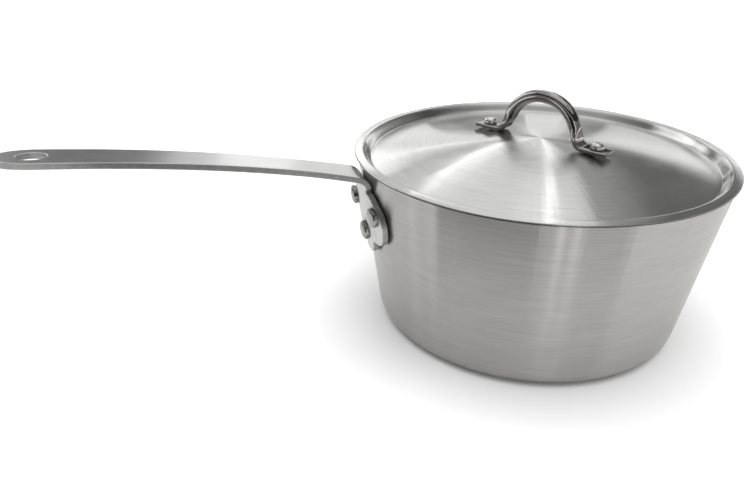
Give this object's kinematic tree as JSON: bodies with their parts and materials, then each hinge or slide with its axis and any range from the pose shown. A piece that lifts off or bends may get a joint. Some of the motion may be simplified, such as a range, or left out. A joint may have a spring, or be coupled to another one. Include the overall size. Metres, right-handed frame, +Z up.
{
  "type": "long-handled saucepan with lid",
  "caption": "Tapered spun-aluminium saucepan with a riveted flat-bar long handle and a lift-off domed lid that carries an arched wire grip.",
  "frame": {"origin": "centre of the flat base the pot stands on", "axes": "+Z up through the pot's axis; the long handle points along -X; +Y is to the left of someone who looks along +X from the handle's end"},
  "size_m": [0.384, 0.21, 0.1339],
  "materials": {
    "spun_aluminium": "brushed in circles",
    "handle_steel": "satin, grain along the bar",
    "rivet_aluminium": "satin",
    "grip_chrome": "polished"
  },
  "bodies": {
    "pot": {"pot_body": "spun_aluminium", "long_handle": "handle_steel", "handle_rivet_upper_left": "rivet_aluminium", "handle_rivet_upper_right": "rivet_aluminium", "handle_rivet_lower": "rivet_aluminium"},
    "lid": {"lid": "spun_aluminium", "lid_handle": "grip_chrome", "lid_rivet_left": "rivet_aluminium", "lid_rivet_right": "rivet_aluminium"}
  },
  "joints": [
    {"name": "lid_lift", "type": "slide", "parent": "pot", "child": "lid", "axis": [0, 0, 1], "range_m": [0, 0.13]}
  ]
}
